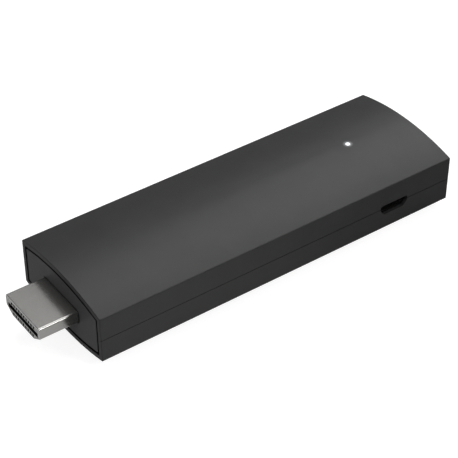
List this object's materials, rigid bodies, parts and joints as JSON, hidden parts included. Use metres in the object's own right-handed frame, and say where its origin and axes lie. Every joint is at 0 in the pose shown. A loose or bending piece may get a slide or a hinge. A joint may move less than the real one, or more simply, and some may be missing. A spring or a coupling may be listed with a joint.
{
  "type": "streaming stick",
  "caption": "Slim media stick with an arched matte casing, a video plug at one end, a power socket and a reset button in its sides and a lit status dot on top.",
  "frame": {"origin": "under the middle of the whole stick, plug included, at the height of its lowest line", "axes": "X along the stick with the video plug towards -X, power socket facing -Y, arched top facing +Z"},
  "size_m": [0.104, 0.0316, 0.0158],
  "materials": {
    "casing_black": "matte",
    "bezel_black": "satin",
    "plug_metal": "satin",
    "socket_metal": "satin",
    "plug_body_grey": "satin",
    "insulator_black": "satin",
    "contact_gold": "polished",
    "light_guide": "gloss",
    "button_black": "satin",
    "board_green": "satin",
    "chip_black": "matte",
    "shield_tin": "satin",
    "gap_pad": "matte",
    "spreader_aluminium": "satin",
    "antenna_metal": "satin",
    "inductor_grey": "matte",
    "capacitor_tan": "matte",
    "crystal_can": "satin",
    "filter_black": "matte",
    "lamp_body": "gloss",
    "sleeve_black": "matte",
    "gasket_grey": "matte",
    "switch_black": "satin",
    "spring_steel": "satin",
    "screw_steel": "satin"
  },
  "bodies": {
    "casing": {"top_cover": "casing_black", "bottom_cover": "casing_black", "front_bezel": "bezel_black", "light_pipe": "light_guide", "main_board": "board_green", "plug_shell": "plug_metal", "plug_insulator": "plug_body_grey", "plug_contacts": "contact_gold", "plug_gasket": "gasket_grey", "socket_shell": "socket_metal", "socket_insulator": "insulator_black", "socket_contacts": "contact_gold", "shield_frame": "shield_tin", "shield_lid": "shield_tin", "underside_shield": "shield_tin", "main_processor": "chip_black", "memory_chips": "chip_black", "storage_chip": "chip_black", "power_manager": "chip_black", "chip_thermal_pad": "gap_pad", "lid_thermal_pad": "gap_pad", "heat_spreader": "spreader_aluminium", "radio_board": "board_green", "radio_lid": "shield_tin", "antenna_left": "antenna_metal", "antenna_right": "antenna_metal", "power_inductors": "inductor_grey", "ceramic_capacitors": "capacitor_tan", "crystals": "crystal_can", "line_filters": "filter_black", "input_fuse": "filter_black", "status_led": "lamp_body", "led_sleeve": "sleeve_black", "switch_base": "switch_black", "switch_cover": "spring_steel", "switch_dome": "spring_steel", "board_screws": "screw_steel"},
    "button": {"reset_button": "button_black"},
    "switch_plunger": {"switch_stem": "switch_black"}
  },
  "joints": [
    {"name": "reset_press", "type": "slide", "parent": "casing", "child": "button", "axis": [0, -1, 0], "range_m": [0, 0.00025], "stiffness_N_per_m": 5000},
    {"name": "plunger_press", "type": "slide", "parent": "casing", "child": "switch_plunger", "axis": [0, -1, 0], "range_m": [0, 0.00025]}
  ],
  "couplings": [
    {"joint": "plunger_press", "follows": "reset_press", "ratio": 1}
  ]
}
